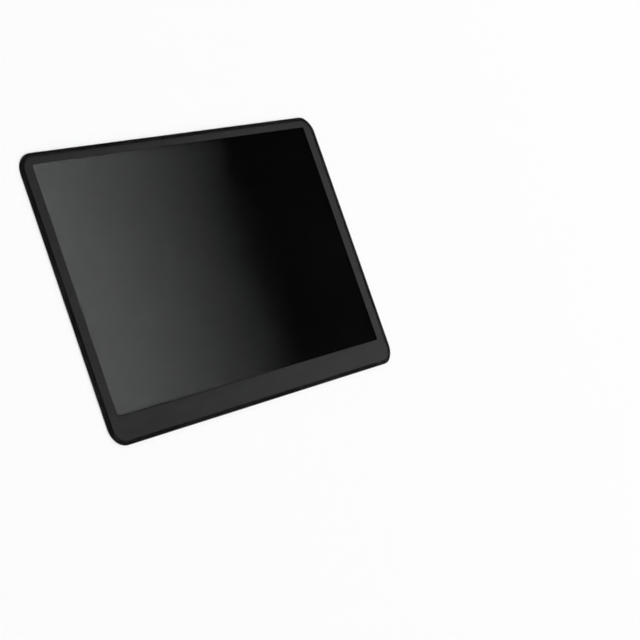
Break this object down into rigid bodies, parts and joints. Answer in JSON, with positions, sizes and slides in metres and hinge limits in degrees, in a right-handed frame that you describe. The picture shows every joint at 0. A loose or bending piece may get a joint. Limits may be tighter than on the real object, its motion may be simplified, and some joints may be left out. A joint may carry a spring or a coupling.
{
  "type": "laptop privacy filter",
  "caption": "Thin flat privacy filter: dark micro-louvre film with rounded corners, a grey front border round its window, and magnetic strips behind that hold it to a screen.",
  "frame": {"origin": "under the centre of the panel, on the surface that the magnetic strips rest on", "axes": "+X along the panel's width, +Y from the wide bottom border to the top border, +Z out of the front face"},
  "size_m": [0.3104, 0.2072, 0.0011],
  "materials": {
    "louvre_film": "dark see-through louvre film with a fine matte anti-glare front",
    "front_border": "matte dark grey, fine grain",
    "rear_border": "matte black",
    "magnet_strip": "dull black flexible magnet"
  },
  "bodies": {
    "root": {"louvre_film": "louvre_film", "front_border": "front_border", "rear_border": "rear_border", "magnet_strip_top": "magnet_strip", "magnet_strip_bottom": "magnet_strip"}
  },
  "joints": []
}
